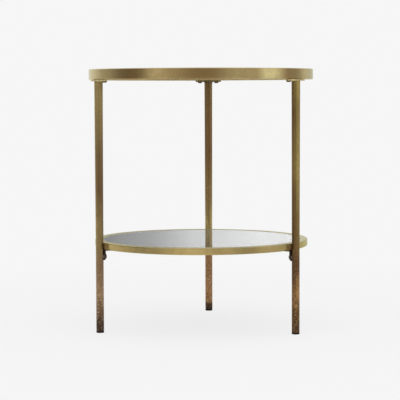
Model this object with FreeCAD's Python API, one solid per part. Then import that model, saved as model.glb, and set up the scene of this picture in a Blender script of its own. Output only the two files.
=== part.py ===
import FreeCAD
import Part
import math
import os

# Round two-tier side table: two rolled hoops of rectangular tube, each framing a mirror disc,
# carried by three round legs that widen a little above the shelf. Millimetres, Z up, origin on the floor
# at the table's axis. The back leg stands on +Y and the front legs at 120 degrees to either side of it.

Vec = FreeCAD.Vector
UP = Vec(0, 0, 1)

# Overall sizes
TABLE_HEIGHT = 530.0
TOP_DIAMETER = 460.0
SHELF_HEIGHT = 182.0          # top face of the lower hoop above the floor

# Legs
LEG_DIAMETER = 15.6           # straight from the foot up to the shelf
LEG_TOP_DIAMETER = 17.2
LEG_WALL = 1.5
LEG_CIRCLE_RADIUS = 227.0     # the leg axes stand on this circle
LEG_ANGLES = {"back": 90.0, "left": 210.0, "right": 330.0}

# Hoops, both of rectangular tube
HOOP_WIDTH = 16.0
HOOP_WALL = 1.5
HOOP_CORNER = 1.2             # bevel that stands for the tube's rounded outer edges
TOP_HOOP_HEIGHT = 22.0
LOWER_HOOP_HEIGHT = 14.0

# What lies inside a hoop, from the top down: mirror, board, felt pads, and tabs welded to the hoop
MIRROR_DROP = 0.5             # the mirror sits this far below the hoop's top face
MIRROR_THICKNESS = 5.0
BOARD_THICKNESS = 4.0
PAD_THICKNESS = 1.0
PAD_SIDE = 12.0
TAB_REACH = 16.0              # inward from the hoop's inner face
TAB_WIDTH = 20.0
TAB_THICKNESS = 2.5
TAB_COUNT = 6
MIRROR_GAP = 1.0              # all round, between the mirror and the hoop
BOARD_GAP = 1.5

# Plate welded across each leg's top and screwed up into the top hoop
PLATE_WIDTH = 18.0
PLATE_LENGTH = 56.0
PLATE_THICKNESS = 3.0
PLATE_SCREW_OFFSET = 18.0     # along the hoop, from the leg's axis to each screw

# Angle bracket welded under the lower hoop and screwed to the leg's inner side
BRACKET_WIDTH = 16.0
BRACKET_THICKNESS = 2.5
BRACKET_FLANGE = 14.0
BRACKET_BEND = 3.0
BRACKET_SCREW_DROP = 14.0     # screw axis below the lower hoop's underside

# Foot cap pressed into each leg's lower end
CAP_HEIGHT = 3.5
CAP_PLUG = 14.0

# Screws: thread radius, head radius, head height and shank length
PLATE_SCREW = {"thread": 2.5, "head": 4.75, "rise": 2.75, "shank": 12.0}
SHELF_SCREW = {"thread": 3.0, "head": 6.25, "rise": 3.6, "shank": 14.0}
SCREW_CROWN = 0.62            # radius of the flat on top of a screw head, as a share of the head's
SCREW_HOLE_CLEARANCE = 0.4

# Hex-bodied blind nuts, flush in hex holes that keep them from turning
HOOP_NUT = {"thread": 2.5, "flats": 7.0, "length": 10.0}
LEG_NUT = {"thread": 3.0, "flats": 9.0, "length": 12.0}
THREAD_CLEARANCE = 0.05
THREAD_SIDES = 12             # shanks and bores are twelve-sided, to keep the facets of nine pairs few
LEG_HOLE_DEPTH = 5.0          # from the leg's inner line, through its curved wall

# Places worked out from the sizes above
TOP_RADIUS = TOP_DIAMETER / 2
TOP_HOOP_BOTTOM = TABLE_HEIGHT - TOP_HOOP_HEIGHT
LOWER_HOOP_BOTTOM = SHELF_HEIGHT - LOWER_HOOP_HEIGHT
LEG_TOP = TOP_HOOP_BOTTOM - PLATE_THICKNESS
LEG_RADIUS = LEG_DIAMETER / 2
LEG_TOP_RADIUS = LEG_TOP_DIAMETER / 2
LOWER_RADIUS = LEG_CIRCLE_RADIUS - LEG_RADIUS      # the lower hoop touches the legs from inside
PLATE_RADIUS = LEG_CIRCLE_RADIUS + LEG_TOP_RADIUS - PLATE_WIDTH / 2
HOOP_CENTRE_RADIUS = TOP_RADIUS - HOOP_WIDTH / 2
SHELF_SCREW_HEIGHT = LOWER_HOOP_BOTTOM - BRACKET_SCREW_DROP


def save(name, shape):
    shape.exportStep("parts/" + name + ".step")


def turned(shape, degrees):
    """A copy of the shape turned about the table's axis."""
    copy = shape.copy()
    copy.rotate(Vec(0, 0, 0), UP, degrees)
    return copy


def half_section(points):
    """A flat face on the XZ plane from (radius, height) corners."""
    corners = [Vec(radius, 0, height) for radius, height in points]
    return Part.Face(Part.makePolygon(corners + [corners[0]]))


def revolved(points):
    """A solid of revolution about Z."""
    return half_section(points).revolve(Vec(0, 0, 0), UP, 360)


def spline_revolved(points):
    """The same in four spline-faced quarters, for tapers: a long cone would take many thousands of facets."""
    quarter = half_section(points).revolve(Vec(0, 0, 0), UP, 90).toNurbs()
    quarters = [turned(quarter, 90 * index) for index in range(4)]
    return quarters[0].fuse(quarters[1:])


def ring(outer, inner, bottom, height):
    """A flat ring about Z."""
    return revolved([(inner, bottom), (outer, bottom), (outer, bottom + height), (inner, bottom + height)])


def rolled_hoop(outer, bottom, height):
    """Rectangular tube rolled into a ring, hollow all the way round, its outer edges eased."""
    inner = outer - HOOP_WIDTH
    top = bottom + height
    solid = revolved([(inner, bottom), (outer - HOOP_CORNER, bottom), (outer, bottom + HOOP_CORNER),
                      (outer, top - HOOP_CORNER), (outer - HOOP_CORNER, top), (inner, top)])
    hollow = ring(outer - HOOP_WALL, inner + HOOP_WALL, bottom + HOOP_WALL, height - 2 * HOOP_WALL)
    return solid.cut(hollow)


def disc(radius, bottom, thickness):
    """A flat round disc about Z."""
    return Part.makeCylinder(radius, thickness, Vec(0, 0, bottom))


def prism(radius, sides, length):
    """A bar with flat sides going up from the XY plane, its corners at the given radius."""
    bearings = [2 * math.pi * side / sides for side in range(sides + 1)]
    points = [Vec(radius * math.cos(bearing), radius * math.sin(bearing), 0) for bearing in bearings]
    return Part.Face(Part.makePolygon(points)).extrude(UP * length)


def hex_bar(across_flats, length):
    """A hexagonal bar going up from the XY plane."""
    return prism(across_flats / math.sqrt(3), 6, length)


def button_screw(size):
    """A button-headed screw pointing up, its head's bearing face on the XY plane."""
    head = size["head"]
    rise = size["rise"]
    button = revolved([(0, -rise), (head * SCREW_CROWN, -rise), (head, 0), (0, 0)])
    return button.fuse(prism(size["thread"], THREAD_SIDES, size["shank"]))


def blind_nut(size):
    """A hex nut going up from the XY plane, bored through for its screw."""
    bore = prism(size["thread"] + THREAD_CLEARANCE, THREAD_SIDES, size["length"])
    return hex_bar(size["flats"], size["length"]).cut(bore)


def plate_screw_places():
    """Angles about the table's axis from a leg to its two plate screws, in degrees."""
    swing = math.degrees(PLATE_SCREW_OFFSET / HOOP_CENTRE_RADIUS)
    return [-swing, swing]


def at_plate_screw(shape, height, swing):
    """A copy moved up onto the top hoop's centre line, at an angle from the leg on +X."""
    copy = shape.copy()
    copy.translate(Vec(HOOP_CENTRE_RADIUS, 0, height))
    return turned(copy, swing)


def at_shelf_screw(shape, radius):
    """A copy pointing outward along +X at the shelf screw's height, starting at a radius."""
    copy = shape.copy()
    copy.rotate(Vec(0, 0, 0), Vec(0, 1, 0), 90)
    copy.translate(Vec(radius, 0, SHELF_SCREW_HEIGHT))
    return copy


def leg_tube():
    """One leg, standing on the +X side; it is turned into place afterwards."""
    bore = LEG_RADIUS - LEG_WALL
    straight = ring(LEG_RADIUS, bore, CAP_HEIGHT, SHELF_HEIGHT - CAP_HEIGHT)
    taper = spline_revolved([(bore, SHELF_HEIGHT), (LEG_RADIUS, SHELF_HEIGHT), (LEG_TOP_RADIUS, LEG_TOP),
                             (LEG_TOP_RADIUS - LEG_WALL, LEG_TOP)])
    tube = straight.fuse(taper)
    tube.translate(Vec(LEG_CIRCLE_RADIUS, 0, 0))
    return tube.cut(at_shelf_screw(hex_bar(LEG_NUT["flats"], LEG_HOLE_DEPTH), LOWER_RADIUS))


def leg_plate():
    """Plate curved to the hoop, with round ends and a clearance hole near each end."""
    half_swing = math.degrees((PLATE_LENGTH - PLATE_WIDTH) / 2 / PLATE_RADIUS)
    inner = PLATE_RADIUS - PLATE_WIDTH / 2
    sector = Part.makeCylinder(inner + PLATE_WIDTH, PLATE_THICKNESS, Vec(0, 0, LEG_TOP), UP, 2 * half_swing)
    core = Part.makeCylinder(inner, PLATE_THICKNESS, Vec(0, 0, LEG_TOP), UP, 2 * half_swing)
    plate = turned(sector.cut(core), -half_swing)
    for swing in (-half_swing, half_swing):
        end = Part.makeCylinder(PLATE_WIDTH / 2, PLATE_THICKNESS, Vec(PLATE_RADIUS, 0, LEG_TOP))
        plate = plate.fuse(turned(end, swing))
    plate = plate.removeSplitter()
    hole = Part.makeCylinder(PLATE_SCREW["thread"] + SCREW_HOLE_CLEARANCE, PLATE_THICKNESS)
    for swing in plate_screw_places():
        plate = plate.cut(at_plate_screw(hole, LEG_TOP, swing))
    return plate


def shelf_bracket():
    """Angle bracket: a flange under the lower hoop, a bend, and a round-ended tab against the leg."""
    back = LOWER_RADIUS
    top = LOWER_HOOP_BOTTOM
    end_radius = BRACKET_WIDTH / 2
    flange = Part.makeBox(BRACKET_FLANGE, BRACKET_WIDTH, BRACKET_THICKNESS,
                          Vec(back - BRACKET_FLANGE, -BRACKET_WIDTH / 2, top - BRACKET_THICKNESS))
    tab = Part.makeBox(BRACKET_THICKNESS, BRACKET_WIDTH, top - SHELF_SCREW_HEIGHT,
                       Vec(back - BRACKET_THICKNESS, -BRACKET_WIDTH / 2, SHELF_SCREW_HEIGHT))
    round_end = Part.makeCylinder(end_radius, BRACKET_THICKNESS,
                                  Vec(back - BRACKET_THICKNESS, 0, SHELF_SCREW_HEIGHT), Vec(1, 0, 0))
    bracket = flange.fuse([tab, round_end]).removeSplitter()
    bend = [edge for edge in bracket.Edges if edge.BoundBox.XMin > back - 0.01 and edge.BoundBox.ZMin > top - 0.01]
    bracket = bracket.makeFillet(BRACKET_BEND, bend)
    hole = Part.makeCylinder(SHELF_SCREW["thread"] + SCREW_HOLE_CLEARANCE, BRACKET_THICKNESS)
    return bracket.cut(at_shelf_screw(hole, back - BRACKET_THICKNESS))


def foot_cap():
    """Cap under a leg, with a hex plug whose corners grip the tube's bore."""
    bore = LEG_RADIUS - LEG_WALL
    plug = hex_bar(bore * math.sqrt(3), CAP_PLUG)
    plug.translate(UP * CAP_HEIGHT)
    cap = disc(LEG_RADIUS, 0, CAP_HEIGHT).fuse(plug)
    cap.translate(Vec(LEG_CIRCLE_RADIUS, 0, 0))
    return cap


def tab_and_pad(inner, tab_bottom):
    """One tab, its outer end curved to the hoop's inner face, and the felt pad on it."""
    tab = Part.makeBox(TAB_REACH, TAB_WIDTH, TAB_THICKNESS, Vec(inner - TAB_REACH, -TAB_WIDTH / 2, tab_bottom))
    tab = tab.common(Part.makeCylinder(inner, TAB_THICKNESS, Vec(0, 0, tab_bottom)))
    pad = Part.makeBox(PAD_SIDE, PAD_SIDE, PAD_THICKNESS,
                       Vec(inner - (TAB_REACH + PAD_SIDE) / 2, -PAD_SIDE / 2, tab_bottom + TAB_THICKNESS))
    return tab, pad


def tier(name, outer, hoop_top):
    """Everything that lies inside one hoop: mirror, board, pads and the tabs that carry them."""
    inner = outer - HOOP_WIDTH
    mirror_bottom = hoop_top - MIRROR_DROP - MIRROR_THICKNESS
    board_bottom = mirror_bottom - BOARD_THICKNESS
    tab, pad = tab_and_pad(inner, board_bottom - PAD_THICKNESS - TAB_THICKNESS)
    bearings = [360.0 / TAB_COUNT * index for index in range(TAB_COUNT)]
    save(name + "_mirror", disc(inner - MIRROR_GAP, mirror_bottom, MIRROR_THICKNESS))
    save(name + "_backing_board", disc(inner - BOARD_GAP, board_bottom, BOARD_THICKNESS))
    save(name + "_pads", Part.makeCompound([turned(pad, bearing) for bearing in bearings]))
    save(name + "_tabs", Part.makeCompound([turned(tab, bearing) for bearing in bearings]))


def top_hoop():
    """The top hoop, with a hex hole in its underside for each plate screw's nut."""
    hoop = rolled_hoop(TOP_RADIUS, TOP_HOOP_BOTTOM, TOP_HOOP_HEIGHT)
    seat = hex_bar(HOOP_NUT["flats"], HOOP_WALL)
    for angle in LEG_ANGLES.values():
        for swing in plate_screw_places():
            hoop = hoop.cut(at_plate_screw(seat, TOP_HOOP_BOTTOM, angle + swing))
    return hoop


def leg_set(side, angle):
    """One leg with its plate, bracket and cap, turned to its place."""
    save("leg_" + side, turned(leg_tube(), angle))
    save("leg_plate_" + side, turned(leg_plate(), angle))
    save("shelf_bracket_" + side, turned(shelf_bracket(), angle))
    save("foot_cap_" + side, turned(foot_cap(), angle))


def fasteners():
    """The screws and blind nuts of all three legs, each kind as one group."""
    plate_places = [angle + swing for angle in LEG_ANGLES.values() for swing in plate_screw_places()]
    screw_start = LOWER_RADIUS - BRACKET_THICKNESS
    plate_screw = button_screw(PLATE_SCREW)
    hoop_nut = blind_nut(HOOP_NUT)
    shelf_screw = at_shelf_screw(button_screw(SHELF_SCREW), screw_start)
    leg_nut = at_shelf_screw(blind_nut(LEG_NUT), LOWER_RADIUS)
    save("plate_screws", Part.makeCompound([at_plate_screw(plate_screw, LEG_TOP, place) for place in plate_places]))
    save("hoop_nuts", Part.makeCompound([at_plate_screw(hoop_nut, TOP_HOOP_BOTTOM, place)
                                         for place in plate_places]))
    save("shelf_screws", Part.makeCompound([turned(shelf_screw, angle) for angle in LEG_ANGLES.values()]))
    save("leg_nuts", Part.makeCompound([turned(leg_nut, angle) for angle in LEG_ANGLES.values()]))


os.makedirs("parts", exist_ok=True)

save("top_hoop", top_hoop())
save("lower_hoop", rolled_hoop(LOWER_RADIUS, LOWER_HOOP_BOTTOM, LOWER_HOOP_HEIGHT))
tier("top", TOP_RADIUS, TABLE_HEIGHT)
tier("lower", LOWER_RADIUS, SHELF_HEIGHT)
for side, angle in LEG_ANGLES.items():
    leg_set(side, angle)
fasteners()
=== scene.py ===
from math import cos, pi, radians, sin
import bmesh
import bpy
from mathutils import Matrix, Vector


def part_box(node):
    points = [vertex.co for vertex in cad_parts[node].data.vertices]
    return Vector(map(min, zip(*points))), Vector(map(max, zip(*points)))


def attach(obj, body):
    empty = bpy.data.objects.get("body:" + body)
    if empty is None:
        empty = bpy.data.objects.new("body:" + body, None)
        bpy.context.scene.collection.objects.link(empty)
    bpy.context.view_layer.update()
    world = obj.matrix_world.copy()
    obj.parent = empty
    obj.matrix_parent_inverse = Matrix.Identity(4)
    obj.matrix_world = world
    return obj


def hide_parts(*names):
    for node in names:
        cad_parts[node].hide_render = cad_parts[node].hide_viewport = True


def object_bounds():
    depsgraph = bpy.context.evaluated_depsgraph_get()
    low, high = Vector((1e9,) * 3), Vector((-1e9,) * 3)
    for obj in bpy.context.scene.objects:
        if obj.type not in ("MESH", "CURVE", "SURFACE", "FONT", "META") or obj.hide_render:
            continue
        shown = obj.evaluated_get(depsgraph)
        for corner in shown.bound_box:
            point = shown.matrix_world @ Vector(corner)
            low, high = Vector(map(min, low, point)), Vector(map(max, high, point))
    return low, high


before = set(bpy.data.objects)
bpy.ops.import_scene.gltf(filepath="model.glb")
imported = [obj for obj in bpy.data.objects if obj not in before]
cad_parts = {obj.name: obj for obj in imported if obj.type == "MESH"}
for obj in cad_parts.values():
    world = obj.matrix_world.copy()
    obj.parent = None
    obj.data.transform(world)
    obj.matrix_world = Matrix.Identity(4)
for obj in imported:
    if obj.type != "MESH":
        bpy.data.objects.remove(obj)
cadLow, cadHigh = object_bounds()
stage = bpy.context.scene
legBearings = {"Back": 90.0, "Left": 210.0, "Right": 330.0}  # degrees about the table's axis, from +X
print("frame loaded:", len(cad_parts), "nodes")


def addObject(name, data):
    made = bpy.data.objects.new(name, data)
    stage.collection.objects.link(made)
    return made


# Small helpers for node trees; a colour is (red, green, blue)

def fill(tree, node, inputs):  # links what is a socket, sets what is a plain value
    for key, value in inputs.items():
        socket = node.inputs[key]
        if isinstance(value, bpy.types.NodeSocket):
            tree.links.new(value, socket)
        else:
            socket.default_value = (*value, 1) if socket.type == "RGBA" else value
    return node


def put(tree, kind, inputs=None, **settings):
    node = tree.nodes.new(kind)
    for name, value in settings.items():
        setattr(node, name, value)
    return fill(tree, node, inputs or {})


def maths(tree, operation, *values):
    return put(tree, "ShaderNodeMath", dict(enumerate(values)), operation=operation).outputs[0]


def times(tree, first, second):
    return maths(tree, "MULTIPLY", first, second)


def scaled(tree, value, size, base):
    return maths(tree, "MULTIPLY_ADD", value, size, base)


def swing(tree, value, size, middle=0.0):  # middle, moved up and down by up to half the size
    return scaled(tree, maths(tree, "SUBTRACT", value, 0.5), size, middle)


def vectorMaths(tree, operation, *values):
    return put(tree, "ShaderNodeVectorMath", dict(enumerate(values)), operation=operation).outputs[0]


def lengthOf(tree, vector):
    return put(tree, "ShaderNodeVectorMath", {0: vector}, operation="LENGTH").outputs["Value"]


def axisOf(tree, vector, axis):
    return put(tree, "ShaderNodeSeparateXYZ", {0: vector}).outputs[axis]


def joinAxes(tree, *values):
    return put(tree, "ShaderNodeCombineXYZ", dict(enumerate(values))).outputs[0]


def bearingOf(tree, vector):  # angle about Z, 0 towards -Y
    return maths(tree, "ARCTAN2", axisOf(tree, vector, "X"), times(tree, axisOf(tree, vector, "Y"), -1.0))


def facing(tree, axis):  # how far a face looks along an axis
    return axisOf(tree, put(tree, "ShaderNodeNewGeometry").outputs["True Normal"], axis)


def spread(tree, value, low, high, newLow=0.0, newHigh=1.0):  # smooth and clamped
    return put(tree, "ShaderNodeMapRange", {0: value, 1: low, 2: high, 3: newLow, 4: newHigh},
               interpolation_type="SMOOTHSTEP").outputs[0]


def noiseAt(tree, vector, scale, detail=2.0, roughness=0.5, distortion=0.0):
    return put(tree, "ShaderNodeTexNoise", {"Vector": vector, "Scale": scale, "Detail": detail,
                                            "Roughness": roughness, "Distortion": distortion}).outputs[0]


def mixColours(tree, factor, first, second):
    return put(tree, "ShaderNodeMix", {0: factor, 6: first, 7: second}, data_type="RGBA").outputs[2]


def mixValues(tree, factor, first, second):
    return put(tree, "ShaderNodeMix", {0: factor, 2: first, 3: second}, data_type="FLOAT").outputs[0]


def layers(tree, shade, *masks):  # lays the tone of each (mask, tone) over what is there
    for mask, tone in masks:
        shade = mixColours(tree, mask, shade, tone)
    return shade


def ramp(tree, place, stops, interpolation="LINEAR"):  # greys; stops are (place from 0 to 1, tone)
    node = put(tree, "ShaderNodeValToRGB", {0: place})
    node.color_ramp.interpolation = interpolation
    for reach, tone in stops:
        node.color_ramp.elements.new(reach).color = (tone, tone, tone, 1)
    for spare in (0, -1):  # the two stops a new ramp comes with
        node.color_ramp.elements.remove(node.color_ramp.elements[spare])
    return node.outputs[0]


def newGroup(name, kind, labels, output, outputKind):  # labels are the inputs' names by their kind
    tree = bpy.data.node_groups.new(name, kind)
    for inputKind, names in labels.items():
        for label in names:
            tree.interface.new_socket(name=label, in_out="INPUT", socket_type="NodeSocket" + inputKind)
    tree.interface.new_socket(name=output, in_out="OUTPUT", socket_type="NodeSocket" + outputKind)
    return tree, put(tree, "NodeGroupInput").outputs, put(tree, "NodeGroupOutput").inputs[0]


# Shader effects that several finishes share: each function gives what its group puts out

rolledRadius = 0.225  # where distance round a hoop is measured


def unrolledHoop(tree, pin):  # distance round the table's axis, distance from it, height
    place = pin["Vector"]
    radius = lengthOf(tree, vectorMaths(tree, "MULTIPLY", place, (1, 1, 0)))
    around = times(tree, bearingOf(tree, place), rolledRadius)  # the seam is behind the back leg
    return joinAxes(tree, around, radius, axisOf(tree, place, "Z"))


def clouds(tree, pin):  # soft patches, used for patina, tarnish and uneven gloss
    moved = vectorMaths(tree, "ADD", pin["Vector"], pin["Shift"])
    noise = noiseAt(tree, moved, maths(tree, "DIVIDE", 1.0, pin["Size"]), detail=5.0, roughness=0.6,
                    distortion=0.4)
    return spread(tree, noise, pin["Low"], pin["High"])


def brushedGrain(tree, pin):  # lines running along X of the vector it gets
    along = maths(tree, "DIVIDE", 1.0, pin["Length"])
    across = maths(tree, "DIVIDE", 1.0, pin["Width"])
    drawn = vectorMaths(tree, "MULTIPLY", pin["Vector"], joinAxes(tree, along, across, across))
    return noiseAt(tree, drawn, 1.0, detail=3.0, roughness=0.65)


def spots(tree, pin):  # small specks and pits
    noise = noiseAt(tree, pin["Vector"], maths(tree, "DIVIDE", 1.0, pin["Size"]), detail=4.0, roughness=0.7)
    edge = maths(tree, "SUBTRACT", 0.72, times(tree, pin["Cover"], 0.4))  # noise above it is a spot
    return spread(tree, noise, edge, maths(tree, "ADD", edge, 0.07))


def heightFade(tree, pin):  # 1 below the low height, 0 above the high one, with a ragged border
    noise = noiseAt(tree, pin["Vector"], 70.0, detail=4.0, roughness=0.65)
    height = swing(tree, noise, pin["Ragged"], axisOf(tree, pin["Vector"], "Z"))
    return spread(tree, height, pin["High"], pin["Low"])


def edgeWear(tree, pin):  # rubbed outer edges
    point = put(tree, "ShaderNodeNewGeometry").outputs["Pointiness"]
    rubbed = swing(tree, noiseAt(tree, pin["Vector"], 260.0, detail=3.0), 0.03, point)
    return spread(tree, rubbed, pin["Low"], pin["High"])


def dust(tree, pin):  # a thin veil on faces that look up
    upward = maths(tree, "MAXIMUM", facing(tree, "Z"), 0.0)
    uneven = spread(tree, noiseAt(tree, pin["Vector"], 45.0, detail=6.0, roughness=0.7), 0.3, 0.7, 0.65, 1.0)
    return times(tree, times(tree, maths(tree, "POWER", upward, 2.0), uneven), pin["Amount"])


def legReflectionPaint(tree, pin):  # painted reflection of the leg: the hoop's outer face beside each leg, from the unrolled vector
    halfThird = pi * rolledRadius / 3
    distance = maths(tree, "PINGPONG", axisOf(tree, pin["Vector"], "X"), halfThird)
    beside = spread(tree, maths(tree, "SUBTRACT", halfThird, distance), pin["Far"], pin["Near"])
    level = maths(tree, "ABSOLUTE", facing(tree, "Z"))
    return times(tree, beside, maths(tree, "SUBTRACT", 1.0, level))


def newEffect(build, *labels, output=("Mask", "Float")):  # every effect also gets a vector
    tree, pin, target = newGroup(build.__name__, "ShaderNodeTree", {"Vector": ["Vector"], "Float": labels},
                                 *output)
    tree.links.new(build(tree, pin), target)
    return tree


effects = {
    "unrolled": newEffect(unrolledHoop, output=("Vector", "Vector")),
    "clouds": newEffect(clouds, "Size", "Low", "High", "Shift"),
    "grain": newEffect(brushedGrain, "Length", "Width"),
    "spots": newEffect(spots, "Size", "Cover"),
    "heightFade": newEffect(heightFade, "Low", "High", "Ragged"),
    "edgeWear": newEffect(edgeWear, "Low", "High"),
    "dust": newEffect(dust, "Amount"),
    "legReflectionPaint": newEffect(legReflectionPaint, "Near", "Far"),
}


def effect(tree, name, vector, **inputs):
    node = put(tree, "ShaderNodeGroup", node_tree=effects[name])
    return fill(tree, node, {"Vector": vector, **inputs}).outputs[0]


def newFinish(name, build, *look):  # build gives the inputs of the material's shader
    material = bpy.data.materials.new(name)
    material.use_nodes = True
    tree = material.node_tree
    place = put(tree, "ShaderNodeTexCoord").outputs["Object"]
    fill(tree, tree.nodes["Principled BSDF"], build(tree, place, *look))
    return material


def bloom(look):  # thin dust that pales a surface seen at a low angle
    return {"Sheen Weight": look["bloom"], "Sheen Roughness": 0.3, "Sheen Tint": look["bloomTint"]}


def bump(tree, height, strength, distance):
    return put(tree, "ShaderNodeBump", {"Strength": strength, "Distance": distance,
                                        "Height": height}).outputs[0]


# Brass of the hoops and legs: light metal, brown patina clouds, brushed lines and rubbed edges

def brushed(tree, look, grain):  # the light brushed lines
    return times(tree, spread(tree, grain, 0.45, 0.75), look["lineShare"])


def unevenGloss(tree, look, mottle, grain):
    size = look["roughnessSwing"]
    return scaled(tree, maths(tree, "ADD", mottle, grain), size, look["roughness"] - 0.5 * size)


def brass(tree, look, shade, metallic, roughness, height):
    return {"Base Color": shade, "Metallic": metallic, "Roughness": roughness,
            "Coat Weight": look["lacquer"], "Coat Roughness": look["lacquerRoughness"],
            "Specular Tint": look["edgeTint"], **bloom(look),
            "Normal": bump(tree, height, strength=0.6, distance=look["lineDepth"])}


hoopBrass = {
    "dark": (0.27, 0.165, 0.06), "rubbed": (0.76, 0.65, 0.38), "dustTone": (0.66, 0.71, 0.60),
    "patches": {"Size": 0.11, "Low": 0.38, "High": 0.72, "Shift": 2.3}, "patchSwing": 0.12,
    "mottle": {"Size": 0.012, "Low": 0.3, "High": 0.7, "Shift": 0.9}, "mottleShare": 0.22,
    "lines": {"Length": 0.035, "Width": 0.0006}, "lineShare": 0.12, "lineDepth": 0.00002,
    "wear": {"Low": 0.52, "High": 0.58}, "wearShare": 0.6, "dust": 0.5, "dustAndReflectionRoughness": 0.8,
    # next line: a painted reflection of the leg, a matte brown laid on the hoop beside each leg
    "legReflection": 0.0, "legReflectionTone": (0.25, 0.135, 0.052), "legReflectionReach": {"Near": 0.003, "Far": 0.024},
    "roughness": 0.17, "roughnessSwing": 0.08, "lacquer": 0.35, "lacquerRoughness": 0.3,
    "edgeTint": (0.97, 1.0, 0.85), "bloom": 0.05, "bloomTint": (0.92, 1.0, 0.88),
}
hoopWearAndReflection = {  # worn is how far the brown is polished off, at degrees round from the front; it is partly painted reflection, its pale and brown stops laid where highlights and dark reflections of the studio fall in the front view
    "Top": {
        "brown": (0.39, 0.240, 0.080), "pale": (0.70, 0.590, 0.275),
        "worn": ((-50, 0.5), (-31, 0.0), (-20, 0.46), (6, 0.05), (22, 0.45), (32, 0.38), (37, 1.0),
                 (43, 0.95), (53, 0.12), (70, 0.5))},
    "Lower": {
        "brown": (0.38, 0.285, 0.110), "pale": (0.71, 0.535, 0.215), "lacquer": 0.15,
        # the lower hoop carries the painted reflection of the legs beside them
        "edgeTint": (0.96, 1.0, 0.70), "legReflection": 0.85,
        "worn": ((-140, 0.4), (-50, 0.7), (-23, 0.0), (0, 1.0), (16, 0.45), (28, 0.05), (40, 0.4))},
}


def polishedHoop(tree, place, look):
    around = effect(tree, "unrolled", place)
    patches = effect(tree, "clouds", around, **look["patches"])
    mottle = effect(tree, "clouds", place, **look["mottle"])
    grain = effect(tree, "grain", around, **look["lines"])
    wear = effect(tree, "edgeWear", place, **look["wear"])
    veil = effect(tree, "dust", place, Amount=look["dust"])
    # painted reflection: the hoop beside each leg turns matte brown, like the leg it mirrors in the joint
    legReflection = times(tree, effect(tree, "legReflectionPaint", around, **look["legReflectionReach"]), look["legReflection"])
    turns = scaled(tree, axisOf(tree, around, "X"), 1 / (2 * pi * rolledRadius), 0.5)
    # paleness round the hoop: polished-off patina, and partly painted reflection of the studio as seen from
    # the front
    worn = ramp(tree, turns, [(degrees / 360 + 0.5, share) for degrees, share in look["worn"]], "EASE")
    worn = swing(tree, patches, look["patchSwing"], worn)
    shade = layers(tree, look["brown"], (worn, look["pale"]),
                   (times(tree, mottle, look["mottleShare"]), look["dark"]),
                   (brushed(tree, look, grain), look["rubbed"]),
                   (times(tree, wear, look["wearShare"]), look["rubbed"]),
                   (veil, look["dustTone"]), (legReflection, look["legReflectionTone"]))
    metallic = maths(tree, "SUBTRACT", maths(tree, "SUBTRACT", 1.0, veil), legReflection)
    # the dust veil and the painted reflection beside the legs both make the hoop matte and rough
    dustAndLegReflection = maths(tree, "MAXIMUM", veil, legReflection)
    roughness = mixValues(tree, dustAndLegReflection, unevenGloss(tree, look, mottle, grain), look["dustAndReflectionRoughness"])
    return brass(tree, look, shade, metallic, roughness, grain)


legBrass = {
    "foxedBrown": (0.19, 0.102, 0.048), "speck": (0.74, 0.54, 0.34), "pit": (0.09, 0.045, 0.023),
    "patches": {"Size": 0.07, "Low": 0.42, "High": 0.68}, "patchReach": 0.02,
    "mottle": {"Size": 0.006, "Low": 0.3, "High": 0.7}, "mottleShare": 0.25,
    "lines": {"Length": 0.03, "Width": 0.0005}, "lineShare": 0.14, "lineDepth": 0.00003,
    "foxing": {"Low": 0.13, "High": 0.185, "Ragged": 0.05}, "foxedRoughness": 0.46,
    "footShare": 0.97, "footDull": 0.1, "roughened": {"Low": 0.06, "High": 0.135, "Ragged": 0.03},
    "specks": {"Size": 0.0040, "Cover": 0.45}, "speckShare": 0.75, "speckBase": 0.25, "speckRise": 0.75,
    "speckFoot": 0.6, "pits": {"Size": 0.0046, "Cover": 0.42}, "pitBase": 0.2, "pitRise": 0.6,
    "pitDepth": 2.5, "paintedSideWidth": 0.16, "roughness": 0.30, "roughnessSwing": 0.12, "lacquer": 0.1,
    "lacquerRoughness": 0.2, "edgeTint": (1.0, 1.0, 1.0), "bloom": 0.08, "bloomTint": (1.0, 0.96, 0.88),
}
legWearAndSideLight = {  # worn is by height; edge is painted light and shade, how much paler the side towards -X is painted (browner where it is below 0), up to the split between the sides
    "Back": {
        "brown": (0.187, 0.097, 0.038), "pale": (0.58, 0.445, 0.175), "foxedPale": (0.57, 0.300, 0.130),
        "footTone": (0.036, 0.018, 0.008), "foot": {"Low": 0.014, "High": 0.022, "Ragged": 0.016},
        "edge": 0.05, "paintedSideSplit": 0.30, "shift": 4.1, "bloom": 0.03,
        "worn": ((0.02, 0.5), (0.045, 0.8), (0.085, 0.45), (0.202, 1.0), (0.224, 0.45), (0.34, 0.08),
                 (0.50, 0.2))},
    "Left": {
        "brown": (0.185, 0.106, 0.043), "pale": (0.58, 0.450, 0.172), "foxedPale": (0.55, 0.370, 0.200),
        "footTone": (0.056, 0.026, 0.010), "foot": {"Low": 0.014, "High": 0.056, "Ragged": 0.016},
        "edge": 0.35, "paintedSideSplit": -0.45, "shift": 1.7, "lacquer": 0.35,
        "worn": ((0.05, 0.15), (0.08, 0.70), (0.105, 0.42), (0.14, 0.30), (0.22, 0.35), (0.28, 0.0),
                 (0.36, 0.1), (0.46, 0.6))},
    "Right": {
        "brown": (0.19, 0.110, 0.040), "pale": (0.58, 0.455, 0.150), "foxedPale": (0.55, 0.305, 0.115),
        "footTone": (0.105, 0.057, 0.025), "foot": {"Low": 0.006, "High": 0.050, "Ragged": 0.016},
        "edge": -0.4, "paintedSideSplit": 0.07, "shift": 7.9, "bloom": 0.03,
        "foxedBrown": (0.14, 0.072, 0.030), "speck": (0.72, 0.46, 0.22),
        "worn": ((0.05, 0.1), (0.068, 0.85), (0.09, 0.7), (0.12, 0.0), (0.24, 0.2), (0.32, 0.7), (0.44, 0.4),
                 (0.50, 0.7))},
}


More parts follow.
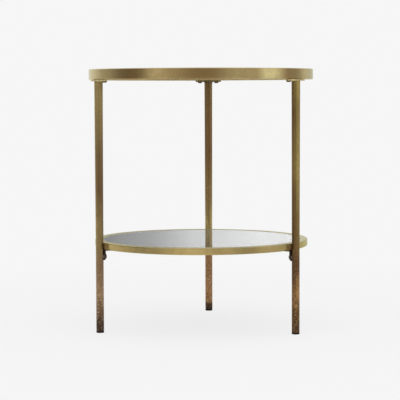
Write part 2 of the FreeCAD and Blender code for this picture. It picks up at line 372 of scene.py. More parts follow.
def wornLeg(tree, place, look):
    turnedUp = put(tree, "ShaderNodeMapping", {0: place, "Rotation": (0, radians(90), 0)}).outputs[0]
    patches = effect(tree, "clouds", place, Shift=look["shift"], **look["patches"])
    mottle = effect(tree, "clouds", place, Shift=look["shift"], **look["mottle"])
    grain = effect(tree, "grain", turnedUp, **look["lines"])
    foxing, foot, roughened = [effect(tree, "heightFade", place, **look[zone])
                               for zone in ("foxing", "foot", "roughened")]
    height = swing(tree, patches, look["patchReach"], axisOf(tree, place, "Z"))
    worn = ramp(tree, maths(tree, "DIVIDE", height, cadHigh.z),
                [(level / cadHigh.z, share) for level, share in look["worn"]])
    # painted light and shade: one side of the leg paler, the other browner, by which way its faces look
    # along X
    paintedSideLight = spread(tree, facing(tree, "X"), look["paintedSideSplit"] - look["paintedSideWidth"],
                    look["paintedSideSplit"] + look["paintedSideWidth"], look["edge"], 0.0)
    worn = maths(tree, "ADD", worn, paintedSideLight)
    brown = mixColours(tree, foxing, look["brown"], look["foxedBrown"])
    pale = mixColours(tree, foxing, look["pale"], look["foxedPale"])
    specks = effect(tree, "spots", place, **look["specks"])
    pits = effect(tree, "spots", vectorMaths(tree, "ADD", place, (0.37, 0.11, 0.23)), **look["pits"])
    bare = maths(tree, "SUBTRACT", scaled(tree, roughened, look["speckRise"], look["speckBase"]),
                 times(tree, foot, look["speckFoot"]))
    speckled = times(tree, specks, times(tree, times(tree, foxing, bare), look["speckShare"]))
    pitted = times(tree, pits, scaled(tree, roughened, look["pitRise"], look["pitBase"]))
    lines = times(tree, brushed(tree, look, grain), maths(tree, "SUBTRACT", 1.0, foot))
    shade = layers(tree, brown, (worn, pale), (times(tree, mottle, look["mottleShare"]), brown),
                   (times(tree, foot, look["footShare"]), look["footTone"]), (speckled, look["speck"]),
                   (pitted, look["pit"]), (lines, pale))
    metallic = scaled(tree, foot, -look["footDull"], 1.0)
    roughness = mixValues(tree, foxing, unevenGloss(tree, look, mottle, grain), look["foxedRoughness"])
    skin = scaled(tree, pitted, -look["pitDepth"], grain)
    return brass(tree, look, shade, metallic, roughness, skin)


# Plain fittings: patch is the size of their darker patches, behind their tone on the table's back side, a
# painted shade

fittingLook = {
    "patches": {"Low": 0.32, "High": 0.7, "Shift": 3.3}, "mottle": {"Low": 0.3, "High": 0.7, "Shift": 5.1},
    "finer": 0.15, "mottleShare": 0.35, "wear": {"Low": 0.54, "High": 0.64}, "wearShare": 0.5, "dull": 0.12,
    "behindFrom": 0.02, "behindTo": 0.1, "behindShare": 0.92, "roughnessSwing": 0.2,
}
fittings = {
    "fitting": {
        "name": "agedBrassFitting", "light": (0.84, 0.70, 0.36), "dark": (0.58, 0.48, 0.25),
        "rubbed": (0.84, 0.73, 0.43), "behind": (0.25, 0.18, 0.085), "patch": 0.018,
        "roughness": 0.38, "roughnessSwing": 0.16},
    "screw": {
        "name": "bronzedScrew", "light": (0.14, 0.10, 0.065), "dark": (0.055, 0.04, 0.028),
        "rubbed": (0.42, 0.33, 0.20), "patch": 0.006, "roughness": 0.34, "roughnessSwing": 0.18},
    "tab": {
        "name": "bronzedTab", "light": (0.22, 0.155, 0.085), "dark": (0.09, 0.062, 0.036),
        "rubbed": (0.42, 0.31, 0.18), "patch": 0.012, "roughness": 0.42},
    "bracket": {
        "name": "darkBracket", "light": (0.17, 0.125, 0.085), "dark": (0.09, 0.065, 0.045),
        "rubbed": (0.24, 0.18, 0.11), "patch": 0.008, "roughness": 0.42},
    "weld": {
        "name": "agedBrassWeld", "light": (0.70, 0.56, 0.29), "dark": (0.40, 0.31, 0.16),
        "rubbed": (0.7, 0.58, 0.33), "behind": (0.10, 0.068, 0.035), "patch": 0.004,
        "roughness": 0.36},
    "nut": {
        "name": "zincNut", "light": (0.56, 0.57, 0.58), "dark": (0.38, 0.38, 0.39),
        "rubbed": (0.75, 0.75, 0.75), "patch": 0.004, "roughness": 0.36, "roughnessSwing": 0.15},
}


def fittingMetal(tree, place, look):
    patches = effect(tree, "clouds", place, Size=look["patch"], **look["patches"])
    mottle = effect(tree, "clouds", place, Size=look["patch"] * look["finer"], **look["mottle"])
    wear = effect(tree, "edgeWear", place, **look["wear"])
    masks = [(patches, look["dark"]), (times(tree, mottle, look["mottleShare"]), look["dark"]),
             (times(tree, wear, look["wearShare"]), look["rubbed"])]
    # painted shade: fittings on the table's back side turn to their darker behind tone
    if "behind" in look:
        masks.append((spread(tree, axisOf(tree, place, "Y"), look["behindFrom"], look["behindTo"], 0.0,
                             look["behindShare"]), look["behind"]))
    return {"Base Color": layers(tree, look["light"], *masks),
            "Metallic": scaled(tree, patches, -look["dull"], 1.0),
            "Roughness": scaled(tree, mottle, look["roughnessSwing"], look["roughness"]),
            "Normal": bump(tree, mottle, strength=0.5, distance=0.00004)}


def boardPaint(tree, place):  # brushed black paint over fibreboard
    patches = effect(tree, "clouds", place, Size=0.05, Low=0.3, High=0.75, Shift=0.4)
    fibres = effect(tree, "grain", place, Length=0.02, Width=0.0009)
    raised = times(tree, spread(tree, fibres, 0.5, 0.8), 0.5)
    tone = layers(tree, (0.018, 0.017, 0.016), (patches, (0.032, 0.030, 0.028)),
                  (raised, (0.05, 0.046, 0.042)))
    return {"Base Color": tone, "Roughness": scaled(tree, patches, 0.15, 0.55),
            "Normal": bump(tree, fibres, strength=0.5, distance=0.00008)}


def feltFuzz(tree, place):
    fuzz = effect(tree, "spots", place, Size=0.0008, Cover=0.5)
    return {"Base Color": mixColours(tree, fuzz, (0.11, 0.11, 0.115), (0.2, 0.2, 0.205)),
            "Roughness": 0.95, "Sheen Weight": 0.4,
            "Normal": bump(tree, fuzz, strength=0.8, distance=0.0003)}


def capPlastic(tree, place):
    grain = effect(tree, "spots", place, Size=0.0009, Cover=0.5)
    scuffs = effect(tree, "clouds", place, Size=0.006, Low=0.45, High=0.7, Shift=1.2)
    tone = mixColours(tree, scuffs, (0.012, 0.008, 0.006), (0.030, 0.020, 0.014))
    return {"Base Color": tone, "Specular IOR Level": 0.2,
            "Roughness": scaled(tree, scuffs, 0.25, 0.45),
            "Normal": bump(tree, grain, strength=0.4, distance=0.00006)}


def mirrorSilver(tree, place):  # the mirror's silvered back, seen through its glass
    patches = effect(tree, "clouds", place, Size=0.09, Low=0.3, High=0.7, Shift=6.2)
    tone = mixColours(tree, patches, (0.90, 0.91, 0.915), (0.87, 0.88, 0.885))
    return {"Base Color": tone, "Metallic": 1.0, "Roughness": times(tree, patches, 0.025)}


def mirrorGlass(tree, place):
    veil = effect(tree, "dust", place, Amount=0.05)
    streaks = effect(tree, "clouds", place, Size=0.03, Low=0.4, High=0.8, Shift=8.5)
    tone = layers(tree, (0.975, 0.99, 0.98), (streaks, (0.965, 0.985, 0.972)), (veil, (0.9, 0.9, 0.9)))
    return {"Base Color": tone, "IOR": 1.52, "Transmission Weight": 1.0,
            "Roughness": times(tree, maths(tree, "ADD", streaks, veil), 0.02),
            **bloom({"bloom": 0.08, "bloomTint": (0.86, 0.92, 1.0)})}


finishes = {
    "board": newFinish("blackBoardPaint", boardPaint), "felt": newFinish("greyFelt", feltFuzz),
    "cap": newFinish("blackCapPlastic", capPlastic), "silver": newFinish("mirrorSilver", mirrorSilver),
    "glass": newFinish("mirrorGlass", mirrorGlass),
}
for name, look in hoopWearAndReflection.items():
    finishes["hoop" + name] = newFinish("agedBrassHoop" + name, polishedHoop, {**hoopBrass, **look})
for name, look in legWearAndSideLight.items():
    finishes["leg" + name] = newFinish("agedBrassLeg" + name, wornLeg, {**legBrass, **look})
for name, look in fittings.items():
    finishes[name] = newFinish(look["name"], fittingMetal, {**fittingLook, **look})
print("finishes made:", len(finishes))


# Geometry Nodes trees: each function gives the geometry that its tree ends with

def geo(tree, kind, inputs=None, **settings):
    return put(tree, "GeometryNode" + kind, inputs, **settings).outputs[0]


def unevenSkin(tree, pin, skin):  # moves the surface in and out a little and shades it smooth
    place = vectorMaths(tree, "ADD", geo(tree, "InputPosition"), pin["Seed"])
    noise = noiseAt(tree, place, maths(tree, "DIVIDE", 1.0, pin["Wave Size"]), 1.0)
    normal = put(tree, "GeometryNodeInputNormal").outputs["Normal"]
    offset = put(tree, "ShaderNodeVectorMath", {0: normal, "Scale": swing(tree, noise, pin["Wave Depth"])},
                 operation="SCALE").outputs[0]
    return geo(tree, "SetShadeSmooth", {0: geo(tree, "SetPosition", {0: skin, "Offset": offset})})


def rolledHoop(tree, pin):  # rectangular tube with rounded corners, rolled into a ring
    radius = maths(tree, "SUBTRACT", pin["Outer Radius"], times(tree, pin["Width"], 0.5))
    path = geo(tree, "CurvePrimitiveCircle", {"Resolution": pin["Steps"], "Radius": radius})
    path = geo(tree, "SetCurveNormal", {0: path}, mode="Z_UP")
    tube = geo(tree, "CurvePrimitiveQuadrilateral", {"Width": pin["Width"], "Height": pin["Height"]})
    tube = geo(tree, "SubdivideCurve", {0: tube, "Cuts": 5})
    tube = geo(tree, "FilletCurve", {0: tube, "Count": 4, "Radius": pin["Corner"], "Limit Radius": True},
               mode="POLY")
    skin = geo(tree, "CurveToMesh", {"Curve": path, "Profile Curve": tube})
    skin = geo(tree, "MergeByDistance", {0: skin, "Distance": 0.00001})
    middle = scaled(tree, pin["Height"], 0.5, pin["Bottom"])
    lifted = geo(tree, "SetPosition", {0: skin, "Offset": joinAxes(tree, 0.0, 0.0, middle)})
    return unevenSkin(tree, pin, lifted)


def roundLeg(tree, pin):  # round tube on a foot point, straight up to one height and widening from there
    growth = put(tree, "ShaderNodeMapRange", {
        0: axisOf(tree, geo(tree, "InputPosition"), "Z"), 1: pin["Widens From"],
        2: axisOf(tree, pin["Head"], "Z"), 3: 1.0,
        4: maths(tree, "DIVIDE", pin["Head Radius"], pin["Radius"])}).outputs[0]
    line = geo(tree, "CurvePrimitiveLine", {"Start": pin["Foot"], "End": pin["Head"]})
    line = geo(tree, "ResampleCurve", {0: line, "Count": pin["Steps"]})
    section = geo(tree, "CurvePrimitiveCircle", {"Resolution": 64, "Radius": pin["Radius"]})
    return unevenSkin(tree, pin, geo(tree, "CurveToMesh", {"Curve": line, "Profile Curve": section,
                                                           "Scale": growth, "Fill Caps": True}))


def aroundTable(tree, pin):  # copies of one small part round the table's axis
    index, beside = geo(tree, "InputIndex"), pin["Side By Side"]
    step = maths(tree, "FLOOR", maths(tree, "DIVIDE", index, beside))
    centred = maths(tree, "SUBTRACT", maths(tree, "MODULO", index, beside), scaled(tree, beside, 0.5, -0.5))
    turn = scaled(tree, step, maths(tree, "DIVIDE", 2 * pi, pin["Bearings"]), pin["Start"])
    turn = scaled(tree, centred, pin["Swing"], turn)
    place = joinAxes(tree, times(tree, maths(tree, "COSINE", turn), pin["Radius"]),
                     times(tree, maths(tree, "SINE", turn), pin["Radius"]), pin["Height"])
    points = geo(tree, "Points", {"Count": times(tree, pin["Bearings"], beside), "Position": place})
    limits = {2: times(tree, pin["Spin"], -1.0), 3: pin["Spin"], "ID": index, "Seed": pin["Seed"]}
    spin = put(tree, "FunctionNodeRandomValue", limits, data_type="FLOAT").outputs[1]
    heading, lean, twist = [
        put(tree, "FunctionNodeAxisAngleToRotation", {"Axis": axis, "Angle": angle}).outputs[0]
        for axis, angle in (((0, 0, 1), turn), ((0, 1, 0), pin["Tilt"]), ((0, 0, 1), spin))]
    for extra in (lean, twist):
        heading = put(tree, "FunctionNodeRotateRotation", {0: heading, 1: extra},
                      rotation_space="LOCAL").outputs[0]
    return geo(tree, "InstanceOnPoints", {"Points": points, "Instance": pin["Part"], "Rotation": heading})


def weldBead(tree, pin):  # a rippled bead with rounded ends along each line of the mesh it gets
    line = geo(tree, "MeshToCurve", {0: pin["Lines"]})
    fifth = maths(tree, "DIVIDE", pin["Ripple"], 5.0)  # distance from point to point
    line = geo(tree, "ResampleCurve", {0: line, "Length": fifth}, mode="LENGTH")
    along = put(tree, "GeometryNodeSplineParameter").outputs
    wave = maths(tree, "SINE", maths(tree, "DIVIDE", times(tree, along["Length"], pi), pin["Ripple"]))
    noise = noiseAt(tree, vectorMaths(tree, "ADD", geo(tree, "InputPosition"), pin["Seed"]), 320.0)
    ripples, lumps, least = 0.22, 0.35, 0.6  # shares of the bead's radius
    thick = scaled(tree, maths(tree, "ABSOLUTE", wave), ripples, scaled(tree, noise, lumps, least))
    middle = maths(tree, "ABSOLUTE", scaled(tree, along["Factor"], 2.0, -1.0))
    rounded = maths(tree, "SUBTRACT", 1.0, maths(tree, "POWER", middle, 6.0))  # blunt, not pointed
    rounded = maths(tree, "SQRT", maths(tree, "MAXIMUM", rounded, 0.02))
    section = geo(tree, "CurvePrimitiveCircle", {"Resolution": 12, "Radius": pin["Bead Radius"]})
    skin = geo(tree, "CurveToMesh", {"Curve": line, "Profile Curve": section, "Fill Caps": True,
                                     "Scale": times(tree, thick, rounded)})
    return geo(tree, "SetShadeSmooth", {0: skin})


def newTree(build, **labels):  # every tree ends in plain meshes with a material
    tree, pin, target = newGroup(build.__name__, "GeometryNodeTree", {**labels, "Material": ["Material"]},
                                 "Geometry", "Geometry")
    real = geo(tree, "RealizeInstances", {0: build(tree, pin)})
    tree.links.new(geo(tree, "SetMaterial", {0: real, "Material": pin["Material"]}), target)
    return tree


hoopTree = newTree(rolledHoop, Float=["Outer Radius", "Bottom", "Width", "Height", "Corner", "Wave Depth",
                                      "Wave Size", "Seed"], Int=["Steps"])
legTree = newTree(roundLeg, Vector=["Foot", "Head"], Int=["Steps"],
                  Float=["Radius", "Head Radius", "Widens From", "Wave Depth", "Wave Size", "Seed"])
spreadTree = newTree(aroundTable, Geometry=["Part"], Int=["Bearings", "Side By Side", "Seed"],
                     Float=["Start", "Swing", "Radius", "Height", "Tilt", "Spin"])
beadTree = newTree(weldBead, Geometry=["Lines"], Float=["Bead Radius", "Ripple", "Seed"])


def runTree(name, tree, finish, inputs, mesh=None):  # a plain mesh object made by a tree
    piece = addObject(name, mesh or bpy.data.meshes.new(name))
    modifier = piece.modifiers.new("shape", "NODES")
    modifier.node_group = tree
    sockets = {item.name: item.identifier for item in tree.interface.items_tree if item.in_out == "INPUT"}
    for label, value in {**inputs, "Material": finishes[finish]}.items():
        modifier[sockets[label]] = value
    made = bpy.data.meshes.new_from_object(piece.evaluated_get(bpy.context.evaluated_depsgraph_get()))
    piece.modifiers.clear()
    piece.data = made
    made.name = name
    return piece


# Small meshes that the trees repeat

def finishMesh(work, name, smooth=True):
    bmesh.ops.recalc_face_normals(work, faces=work.faces)
    for face in work.faces:
        face.smooth = smooth
    mesh = bpy.data.meshes.new(name)
    work.to_mesh(mesh)
    work.free()
    return mesh


def joinLoops(work, loops):  # faces from each loop to the next
    count = len(loops[0])
    for lower, upper in zip(loops, loops[1:]):
        for step in range(count):
            after = (step + 1) % count
            work.faces.new((lower[step], lower[after], upper[after], upper[step]))


def ringsMesh(name, rings, segments, smooth=True):  # (radius, height), or (half across flats, height, "hex")
    work = bmesh.new()
    loops = []
    for radius, height, *hexagon in rings:
        loop = []
        for step in range(segments):
            turn = 2 * pi * step / segments
            reach = radius
            if hexagon:
                reach = radius / cos((turn + pi / 6) % (pi / 3) - pi / 6)
            loop.append(work.verts.new((reach * cos(turn), reach * sin(turn), height)))
        loops.append(loop)
    joinLoops(work, loops)
    for loop, height in ((loops[0], rings[0][1]), (loops[-1], rings[-1][1])):
        centre = work.verts.new((0, 0, height))
        for step in range(segments):
            work.faces.new((loop[step], loop[(step + 1) % segments], centre))
    return finishMesh(work, name, smooth)


def stripMesh(name, sections):  # a closed strip through cross-sections of four corners each
    work = bmesh.new()
    loops = [[work.verts.new(corner) for corner in section] for section in sections]
    joinLoops(work, loops)
    work.faces.new(loops[0])
    work.faces.new(list(reversed(loops[-1])))
    return finishMesh(work, name)


def linesMesh(name, lines):  # edges only, for the bead tree
    points, edges = [], []
    for line in lines:
        start = len(points)
        points += line
        edges += [(start + step, start + step + 1) for step in range(len(line) - 1)]
    mesh = bpy.data.meshes.new(name)
    mesh.from_pydata(points, edges, [])
    return mesh


def shadeEvenly(piece):
    piece.modifiers.new("evenShading", "WEIGHTED_NORMAL").keep_sharp = True


def easeEdges(piece, width, segments=2, angle=40):  # rounded edges and even shading
    bevel = piece.modifiers.new("easedEdges", "BEVEL")
    bevel.width = width
    bevel.segments = segments
    bevel.limit_method = "ANGLE"
    bevel.angle_limit = radians(angle)
    shadeEvenly(piece)


def seat(piece, slotName, *nodes):  # rides on the table and stands for its CAD nodes
    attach(piece, "root")
    if nodes:
        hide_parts(*nodes)


# Hoops

hoopLook = {"Width": 0.016, "Corner": 0.0022, "Steps": 288, "Wave Depth": 0.0004, "Wave Size": 0.07}


def buildHoop(name, node, seed):
    low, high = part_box(node)
    piece = runTree(name, hoopTree, name, {**hoopLook, "Outer Radius": high.x, "Bottom": low.z,
                                           "Height": high.z - low.z, "Seed": seed})
    shadeEvenly(piece)
    seat(piece, "aged_brass_hoop", node)


buildHoop("hoopTop", "top_hoop", 3.7)
buildHoop("hoopLower", "lower_hoop", 8.2)
print("hoops done")


# Legs, with a foot cap, top plate and shelf bracket each

legLow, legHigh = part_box("leg_back")
capLow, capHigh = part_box("foot_cap_back")
plateLow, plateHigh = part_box("leg_plate_back")
shelfLow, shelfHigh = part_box("lower_hoop")
legCircle = (capLow.y + capHigh.y) / 2
legEase = 0.0003
legLook = {"Radius": (capHigh.x - capLow.x) / 2, "Head Radius": (legHigh.x - legLow.x) / 2,
           "Widens From": shelfHigh.z, "Steps": 110, "Wave Depth": 0.00016, "Wave Size": 0.05}
plugHeight = 0.014  # the part of a cap inside its leg
capLook = {"radius": legLook["Radius"], "height": capHigh.z - plugHeight, "round": 0.001, "chamfer": 0.0003,
           "dimple": 0.0030, "dimpleRim": 0.0036, "dimpleDepth": 0.0006}
plateLook = {"node": "leg_plate_", "width": 0.018, "middle": plateHigh.y - 0.009, "length": 0.056,
             "bottom": plateLow.z, "thick": plateHigh.z - plateLow.z, "ease": 0.0005}
bracketLook = {"node": "shelf_bracket_", "back": shelfHigh.x, "top": shelfLow.z, "width": 0.016,
               "thick": 0.0025, "flange": 0.014, "bend": 0.003, "screwDrop": 0.014, "ease": 0.0004}


def legPoint(side, height):
    bearing = radians(legBearings[side])
    return (legCircle * cos(bearing), legCircle * sin(bearing), height)


def capRings(look):
    radius, bend, chamfer = look["radius"], look["round"], look["chamfer"]
    rings = [(look["dimple"], look["dimpleDepth"]), (look["dimpleRim"], 0.0)]
    for step in range(5):  # a quarter turn
        angle = radians(22.5 * step)
        rings.append((radius - bend * (1 - sin(angle)), bend * (1 - cos(angle))))
    return rings + [(radius, look["height"] - chamfer), (radius - chamfer, look["height"])]


def plateSections(look):  # follows the hoop, round at both ends
    half = look["width"] / 2
    reach = look["length"] / 2 - half
    starts, ends = [[radians(angle) for angle in range(*span)] for span in ((6, 90, 7), (7, 86, 7))]
    stations = [(-reach - half * cos(a), half * sin(a)) for a in starts]
    stations += [(-reach + 2 * reach * step / 14, half) for step in range(15)]
    stations += [(reach + half * sin(a), half * cos(a)) for a in ends]
    low, high = look["bottom"], look["bottom"] + look["thick"]
    sections = []
    for along, wide in stations:
        turn = along / look["middle"]
        inner, outer = look["middle"] - wide, look["middle"] + wide
        sections.append([(r * cos(turn), r * sin(turn), z)
                         for r, z in ((inner, low), (outer, low), (outer, high), (inner, high))])
    return sections


def bracketSections(look):  # flange under the shelf, a bend, then the tab down the leg
    back, top, thick, bend = look["back"], look["top"], look["thick"], look["bend"]
    half, inner = look["width"] / 2, max(bend - thick, 0.0)
    rows = [((back - look["flange"], top), (back - look["flange"], top - thick), half)]
    for step in range(9):  # a quarter turn
        angle = radians(11.25 * step)
        outside, inside = [(back - bend + size * sin(angle), top - bend + size * cos(angle))
                           for size in (bend, inner)]
        rows.append((outside, inside, half))
    screw = top - look["screwDrop"]
    rows.append(((back, screw), (back - thick, screw), half))
    for angle in range(8, 86, 7):  # the round end
        drop = half * sin(radians(angle))
        rows.append(((back, screw - drop), (back - thick, screw - drop),
                     half * cos(radians(angle))))
    return [[(o[0], -w, o[1]), (o[0], w, o[1]), (i[0], w, i[1]), (i[0], -w, i[1])] for o, i, w in rows]


for side, bearing in legBearings.items():
    leg = runTree("leg" + side, legTree, "leg" + side,
                  {**legLook, "Foot": legPoint(side, legLow.z), "Head": legPoint(side, legHigh.z),
                   "Seed": legWearAndSideLight[side]["shift"]})
    easeEdges(leg, legEase, 1)
    seat(leg, "aged_brass_leg", "leg_" + side.lower())
    oneCopy = {"Bearings": 1, "Start": radians(bearing), "Side By Side": 1}
    cap = runTree("footCap" + side, spreadTree, "cap", {**oneCopy, "Radius": legCircle},
                  ringsMesh("capSeed", capRings(capLook), 64))
    shadeEvenly(cap)
    seat(cap, "black_cap", "foot_cap_" + side.lower())
    for name, finish, sections, look in (("legPlate", "fitting", plateSections, plateLook),
                                         ("shelfBracket", "bracket", bracketSections, bracketLook)):
        piece = runTree(name + side, spreadTree, finish, oneCopy, stripMesh(name + "Seed", sections(look)))
        easeEdges(piece, look["ease"])
        seat(piece, "aged_brass_fitting", look["node"] + side.lower())
print("legs, caps, plates and brackets done")


# Dome-headed socket screws: pitch is the distance between the two of a plate

plateScrew = {"head": 0.00475, "rise": 0.00275, "thread": 0.0025, "shank": 0.012, "hex": 0.003,
              "depth": 0.0015, "pitch": 0.036, "circle": 0.222, "height": 0.505}
shelfScrew = {"head": 0.00625, "rise": 0.0036, "thread": 0.003, "shank": 0.014, "hex": 0.004, "depth": 0.002}
screwShape = {"crown": 1.3, "sideways": 0.8, "upwards": 0.85, "chamfer": 0.0002, "ease": 0.00012}


def screwRings(size):  # head's bearing face at height 0, shank upwards
    head, rise, flats, chamfer = size["head"], size["rise"], size["hex"] / 2, screwShape["chamfer"]
    crown = flats * screwShape["crown"]
    rings = [(flats * 0.5, size["depth"] - rise), (flats, size["depth"] - rise, "hex"),
             (flats, chamfer - rise, "hex"), (flats + chamfer, -rise, "hex")]
    for angle in (8, 20, 32, 44, 56, 68, 80, 90):  # the dome
        turn = radians(angle)
        rings.append((crown + (head - crown) * sin(turn) ** screwShape["sideways"],
                      -rise * cos(turn) ** screwShape["upwards"]))
    return rings + [(head, 0.0), (size["thread"], 0.0), (size["thread"], size["shank"])]


def buildScrews(name, node, size, places):
    inputs = {"Bearings": 3, "Start": radians(90), "Spin": pi, **places}
    screws = runTree(name, spreadTree, "screw", inputs, ringsMesh(name + "Seed", screwRings(size), 48))
    easeEdges(screws, screwShape["ease"], 2, 50)
    seat(screws, "bronzed_screw", node)


buildScrews("plateScrews", "plate_screws", plateScrew,
            {"Side By Side": 2, "Swing": plateScrew["pitch"] / plateScrew["circle"],
             "Radius": plateScrew["circle"], "Height": plateScrew["height"], "Seed": 5})
buildScrews("shelfScrews", "shelf_screws", shelfScrew,
            {"Side By Side": 1, "Radius": bracketLook["back"] - bracketLook["thick"],
             "Height": bracketLook["top"] - bracketLook["screwDrop"], "Tilt": radians(90), "Seed": 8})
print("screws done")


# Tabs that carry the mirrors, and the weld beads

tabLook = {"reach": 0.016, "width": 0.020, "thick": 0.0025, "corner": 0.004, "gap": 0.0006, "count": 6,
           "ease": 0.0003}
beadLook = {"plateBead": 0.0013, "smallBead": 0.0011, "ripple": 0.0016, "proud": 0.0003,
            "plateSunk": 0.0002, "bracketSunk": 0.0004, "bracketStart": 0.0135, "bracketStep": 0.0008}


def tabSections(look, inner):  # outer end follows the hoop's inner face, inner corners rounded
    half, corner, thick, start = look["width"] / 2, look["corner"], look["thick"], inner - look["reach"]
    rows = []
    for angle in range(0, 91, 15):
        turn = radians(angle)
        rows.append((start + corner * (1 - cos(turn)), half - corner * (1 - sin(turn))))
    for step in range(1, 5):
        rows.append((start + corner + (look["reach"] - corner - look["gap"]) * step / 4, half))
    return [[(x, -w, 0), (x, w, 0), (x, w, thick), (x, -w, thick)] for x, w in rows]


def layBeads(name, lines, size, seed, slotName):
    inputs = {"Bead Radius": beadLook[size], "Ripple": beadLook["ripple"], "Seed": float(seed)}
    seat(runTree(name, beadTree, "weld", inputs, linesMesh(name + "Lines", lines)), slotName)


def buildTabs(name, node, seed):
    low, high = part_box(node)
    inner, count = high.x, tabLook["count"]
    piece = runTree(name, spreadTree, "tab", {"Bearings": count, "Side By Side": 1, "Height": low.z},
                    stripMesh("tabSeed", tabSections(tabLook, inner)))
    easeEdges(piece, tabLook["ease"])
    seat(piece, "bronzed_tab", node)
    reach = [radians(-2.4 + 0.4 * part) for part in range(13)]  # across the tab
    arc = [Vector((inner * cos(a) - beadLook["proud"], inner * sin(a), low.z)) for a in reach]
    turns = [Matrix.Rotation(2 * pi * step / count, 3, "Z") for step in range(count)]
    layBeads(name + "Welds", [[turn @ point for point in arc] for turn in turns], "smallBead", seed,
             "bronzed_tab")


buildTabs("topTabs", "top_tabs", 2)
buildTabs("lowerTabs", "lower_tabs", 4)

rings, lines = [], []
ringRadius = legLook["Head Radius"] + beadLook["proud"]
start, height = bracketLook["back"] - beadLook["bracketStart"], bracketLook["top"] - beadLook["bracketSunk"]
for side, bearing in legBearings.items():
    centre = Vector(legPoint(side, legHigh.z - beadLook["plateSunk"]))
    angles = [radians(bearing) + radians(angle) for angle in range(52, 309, 4)]  # not on the outer side
    rings.append([centre + Vector((cos(a), sin(a), 0)) * ringRadius for a in angles])
    turn = Matrix.Rotation(radians(bearing), 3, "Z")
    for edge in (-1, 1):
        across = edge * (bracketLook["width"] / 2 + beadLook["proud"])
        lines.append([turn @ Vector((start + beadLook["bracketStep"] * part, across, height))
                      for part in range(14)])
layBeads("legPlateWelds", rings, "plateBead", 6, "aged_brass_fitting")
layBeads("bracketWelds", lines, "smallBead", 9, "aged_brass_fitting")
print("tabs and welds done")


# Mirrors: a glass disc with ground edges over a silvered back

mirrorLook = {"ease": 0.0007, "lowerEase": 0.0003, "silver": 0.0005, "gap": 0.00002, "segments": 256,
              "inset": 0.0004, "silverEase": 0.0001}


def buildMirror(name, node):
    low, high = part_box(node)
    radius, ease, lowerEase = high.x, mirrorLook["ease"], mirrorLook["lowerEase"]
    start = low.z + mirrorLook["silver"] + mirrorLook["gap"]
    glass = [(radius - lowerEase, start), (radius, start + lowerEase), (radius, high.z - ease),
             (radius - ease, high.z)]
    edge, top, lip = radius - mirrorLook["inset"], low.z + mirrorLook["silver"], mirrorLook["silverEase"]
    silver = [(edge - 2 * lip, low.z), (edge, low.z + lip), (edge, top - lip), (edge - lip, top)]
    for part, rings, nodes in (("Glass", glass, [node]), ("Silver", silver, [])):
        mesh = ringsMesh(name + part, rings, mirrorLook["segments"], smooth=False)
        mesh.materials.append(finishes[part.lower()])
        seat(addObject(name + part, mesh), "mirror_glass", *nodes)


buildMirror("topMirror", "top_mirror")
buildMirror("lowerMirror", "lower_mirror")
print("mirrors done")


# CAD nodes that keep their shape

keptNodes = {"top_backing_board": "board", "lower_backing_board": "board", "top_pads": "felt",
             "lower_pads": "felt", "hoop_nuts": "nut", "leg_nuts": "nut"}
for node, finish in keptNodes.items():
    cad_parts[node].data.materials.clear()
    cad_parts[node].data.materials.append(finishes[finish])
print("boards, pads and nuts dressed")


# Floor, backdrop and light

studio = {
    "background": 0.9216, "floorTone": 0.92, "floorPaint": 0.86, "floorSeen": 0.78, "floorRadius": 4.0,
    "fadeStart": 0.7, "fadeEnd": 1.3, "matte": 0.80, "ceiling": 0.85, "ceilingFrom": 0.35, "ceilingTo": 0.75,
}
studioWalls = [  # (bearing from the camera, tone): dark doorway near -76, windows near -48 and 77
    (-145, 0.90), (-110, 0.50), (-84, 0.27), (-64, 0.30), (-48, 0.80), (-32, 0.63), (-4, 0.44), (15, 0.45),
    (34, 0.61), (60, 0.65), (72, 0.95), (82, 0.90), (95, 0.57), (110, 0.44), (145, 0.90)]
cardLook = {"reach": 1.3, "distance": 1.5, "height": 1.0, "strength": 1.05}
cardTones = [(-0.47, 0.85), (-0.40, 0.29), (-0.26, 0.43), (-0.20, 0.56), (-0.14, 0.72), (-0.04, 0.82),
             (0.07, 0.95), (0.38, 0.98), (0.46, 0.65)]  # (metres across, tone)
lampLook = {"size": 1.8, "energy": 10.5, "place": (0.2, -0.5, 2.2), "facing": (0.2, -0.5, 1.95)}


def grey(tone):
    return (tone, tone, tone)


def bareTree(holder):
    holder.use_nodes = True
    holder.node_tree.nodes.clear()
    return holder.node_tree


def addSheet(name, corners, paint):  # a flat piece of the studio; paint gives its surface
    material = bpy.data.materials.new(name)
    tree = bareTree(material)
    put(tree, "ShaderNodeOutputMaterial", {"Surface": paint(tree)})
    mesh = bpy.data.meshes.new(name)
    mesh.from_pydata(corners, [], [(0, 1, 2, 3)])
    mesh.materials.append(material)
    sheet = addObject(name, mesh)
    return sheet


def floorPaint(tree):  # keeps the table's shadow, and fades into the background further out
    geometry = put(tree, "ShaderNodeNewGeometry").outputs
    paper = put(tree, "ShaderNodeBsdfDiffuse", {"Color": grey(studio["floorTone"])}).outputs[0]
    toCamera = put(tree, "ShaderNodeLightPath").outputs["Is Camera Ray"]
    strength = mixValues(tree, toCamera, studio["floorSeen"], 1.0)
    glow = put(tree, "ShaderNodeEmission", {0: grey(studio["background"]), "Strength": strength}).outputs[0]
    share = spread(tree, lengthOf(tree, geometry["Position"]), studio["fadeStart"], studio["fadeEnd"],
                   studio["floorPaint"], 1.0)
    near = put(tree, "ShaderNodeMixShader", {0: share, 1: paper, 2: glow}).outputs[0]
    clear = put(tree, "ShaderNodeBsdfTransparent").outputs[0]
    return put(tree, "ShaderNodeMixShader", {0: geometry["Backfacing"], 1: near, 2: clear}).outputs[0]


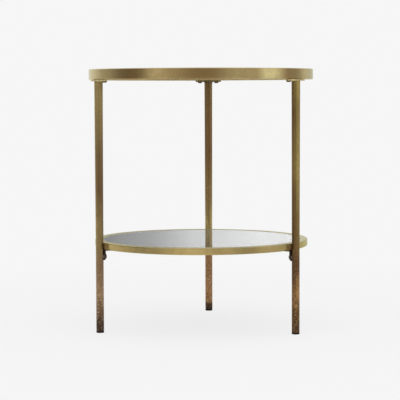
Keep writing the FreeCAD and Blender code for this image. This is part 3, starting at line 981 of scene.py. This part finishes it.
def cardPaint(tree):
    across = axisOf(tree, put(tree, "ShaderNodeTexCoord").outputs["Object"], "X")
    fade = ramp(tree, maths(tree, "ADD", across, 0.5), [(reach + 0.5, tone) for reach, tone in cardTones])
    return put(tree, "ShaderNodeEmission", {0: fade, "Strength": cardLook["strength"]}).outputs[0]


def makeFloor():
    reach = studio["floorRadius"]
    addSheet("floor", [(reach, reach, 0), (-reach, reach, 0), (-reach, -reach, 0), (reach, -reach, 0)],
             floorPaint)


def makeBackdropCard():  # stands behind the table, seen only in the mirrors and metal
    reach, away, height = cardLook["reach"], cardLook["distance"], cardLook["height"]
    card = addSheet("backdropCard", [(-reach, away, 0), (reach, away, 0), (reach, away, height),
                                     (-reach, away, height)], cardPaint)
    card.visible_camera = card.visible_diffuse = card.visible_shadow = False


def makeWorld():  # flat to the camera, uneven studio walls to metal and glass, even to matte surfaces
    stage.world = bpy.data.worlds.new("studio")
    tree = bareTree(stage.world)
    rays = put(tree, "ShaderNodeLightPath").outputs
    heading = put(tree, "ShaderNodeTexCoord").outputs["Generated"]
    bearing = maths(tree, "SUBTRACT", bearingOf(tree, heading), cameraTurn)
    walls = ramp(tree, scaled(tree, bearing, 1 / (2 * pi), 0.5),
                 [(degrees / 360 + 0.5, tone) for degrees, tone in studioWalls], "EASE")
    above = spread(tree, axisOf(tree, heading, "Z"), studio["ceilingFrom"], studio["ceilingTo"])
    room = mixColours(tree, above, walls, grey(studio["ceiling"]))
    shiny = maths(tree, "MAXIMUM", rays["Is Glossy Ray"], rays["Is Transmission Ray"])
    light = layers(tree, grey(studio["matte"]), (shiny, room),
                   (rays["Is Camera Ray"], grey(studio["background"])))
    sky = put(tree, "ShaderNodeBackground", {0: light}).outputs[0]
    put(tree, "ShaderNodeOutputWorld", {0: sky})


def makeOverhead(look):
    lamp = bpy.data.lights.new("overhead", "AREA")
    lamp.shape = "DISK"
    lamp.size = look["size"]
    lamp.energy = look["energy"]
    holder = addObject("overhead", lamp)
    holder.location = look["place"]
    holder.rotation_euler = Vector(look["facing"]).to_track_quat("Z", "Y").to_euler()
    holder.visible_glossy = False


# Camera

cameraLook = {"distance": 3.320, "aside": 0.002479, "eye": 0.4848, "turn": 4.187, "down": 3.865,
              "roll": -0.18, "lens": 144.93}
cameraTurn = radians(cameraLook["turn"])


def makeCamera(look):
    forward = Vector((-sin(cameraTurn), cos(cameraTurn), 0))
    right = Vector((cos(cameraTurn), sin(cameraTurn), 0))
    place = -forward * look["distance"] - right * look["aside"] + Vector((0, 0, look["eye"]))
    turn = (Matrix.Rotation(cameraTurn, 4, "Z") @ Matrix.Rotation(radians(90 - look["down"]), 4, "X")
            @ Matrix.Rotation(radians(look["roll"]), 4, "Z"))
    camera = bpy.data.cameras.new("camera")
    camera.lens = look["lens"]
    camera.sensor_width = 36.0
    camera.clip_end = 50.0
    stage.camera = addObject("camera", camera)
    stage.camera.matrix_world = Matrix.Translation(place) @ turn


makeCamera(cameraLook)
makeFloor()
makeWorld()
makeBackdropCard()
makeOverhead(lampLook)
stage.view_settings.view_transform = "Standard"
print("camera, floor and light done")
